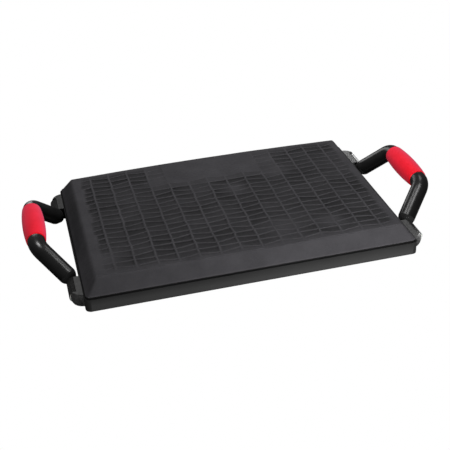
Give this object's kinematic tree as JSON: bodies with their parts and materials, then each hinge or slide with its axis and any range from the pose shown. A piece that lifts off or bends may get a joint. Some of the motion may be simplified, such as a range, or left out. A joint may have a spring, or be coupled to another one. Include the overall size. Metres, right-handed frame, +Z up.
{
  "type": "kneeling board",
  "caption": "Kneeling board with a thick bevelled foam pad on a moulded tray, and a U-shaped carry handle with a red grip folding on a hinge at each end.",
  "frame": {"origin": "on the floor below the middle of the board, feet resting on z = 0", "axes": "+X along the board's length towards the right handle, -Y towards the front, +Z up"},
  "size_m": [0.6628, 0.351, 0.0753],
  "materials": {
    "tray_plastic": "satin",
    "foam": "matt, moulded non-slip texture",
    "foot_rubber": "matt",
    "bracket_plastic": "fine grained satin",
    "zinc_steel": "zinc plated",
    "washer_nylon": "matt",
    "knuckle_plastic": "semi-gloss",
    "tube_paint": "gloss powder coat",
    "grip_rubber": "satin"
  },
  "bodies": {
    "board": {"base_tray": "tray_plastic", "foam_pad": "foam", "rubber_feet": "foot_rubber", "left_front_bracket": "bracket_plastic", "left_rear_bracket": "bracket_plastic", "right_front_bracket": "bracket_plastic", "right_rear_bracket": "bracket_plastic", "left_bracket_screws": "zinc_steel", "right_bracket_screws": "zinc_steel", "left_pivot_pins": "zinc_steel", "right_pivot_pins": "zinc_steel", "left_friction_washers": "washer_nylon", "right_friction_washers": "washer_nylon"},
    "left_handle": {"left_handle_tube": "tube_paint", "left_front_knuckle": "knuckle_plastic", "left_rear_knuckle": "knuckle_plastic", "left_knuckle_screws": "zinc_steel", "left_grip": "grip_rubber"},
    "right_handle": {"right_handle_tube": "tube_paint", "right_front_knuckle": "knuckle_plastic", "right_rear_knuckle": "knuckle_plastic", "right_knuckle_screws": "zinc_steel", "right_grip": "grip_rubber"}
  },
  "joints": [
    {"name": "left_handle_fold", "type": "hinge", "parent": "board", "child": "left_handle", "pos_m": [-0.2713, 0, 0.0115], "axis": [0, 1, 0], "range_deg": [-29, 22]},
    {"name": "right_handle_fold", "type": "hinge", "parent": "board", "child": "right_handle", "pos_m": [0.2713, 0, 0.0115], "axis": [0, -1, 0], "range_deg": [-29, 22]}
  ]
}
